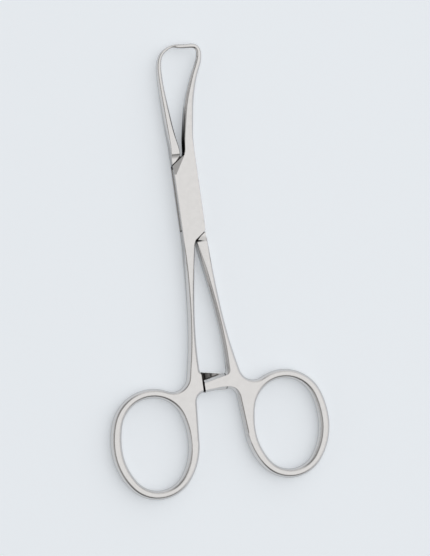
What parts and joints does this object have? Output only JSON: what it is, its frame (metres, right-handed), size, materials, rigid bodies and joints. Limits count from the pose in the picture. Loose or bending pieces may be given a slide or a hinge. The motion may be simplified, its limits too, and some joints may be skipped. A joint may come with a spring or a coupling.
{
  "type": "surgical towel clamp",
  "caption": "Ring-handled surgical towel clamp with a box lock, a ratchet between the shanks and curved jaws that close to overlapping sharp points.",
  "frame": {"origin": "on the pivot axis, in the back face of the box lock, which is the face the instrument rests on", "axes": "+Y from the pivot towards the tips of the jaws, +X to the right as seen from the front, +Z out of the front face"},
  "size_m": [0.0602, 0.12, 0.004],
  "materials": {
    "arm_steel": "satin, fine ground",
    "pin_steel": "ground flush, satin"
  },
  "bodies": {
    "box_side": {"female_arm": "arm_steel", "pivot_pin": "pin_steel"},
    "tongue_side": {"male_arm": "arm_steel"}
  },
  "joints": [
    {"name": "box_lock", "type": "hinge", "parent": "box_side", "child": "tongue_side", "pos_m": [0, 0, 0.002], "axis": [0, 0, 1], "range_deg": [0, 50]}
  ]
}
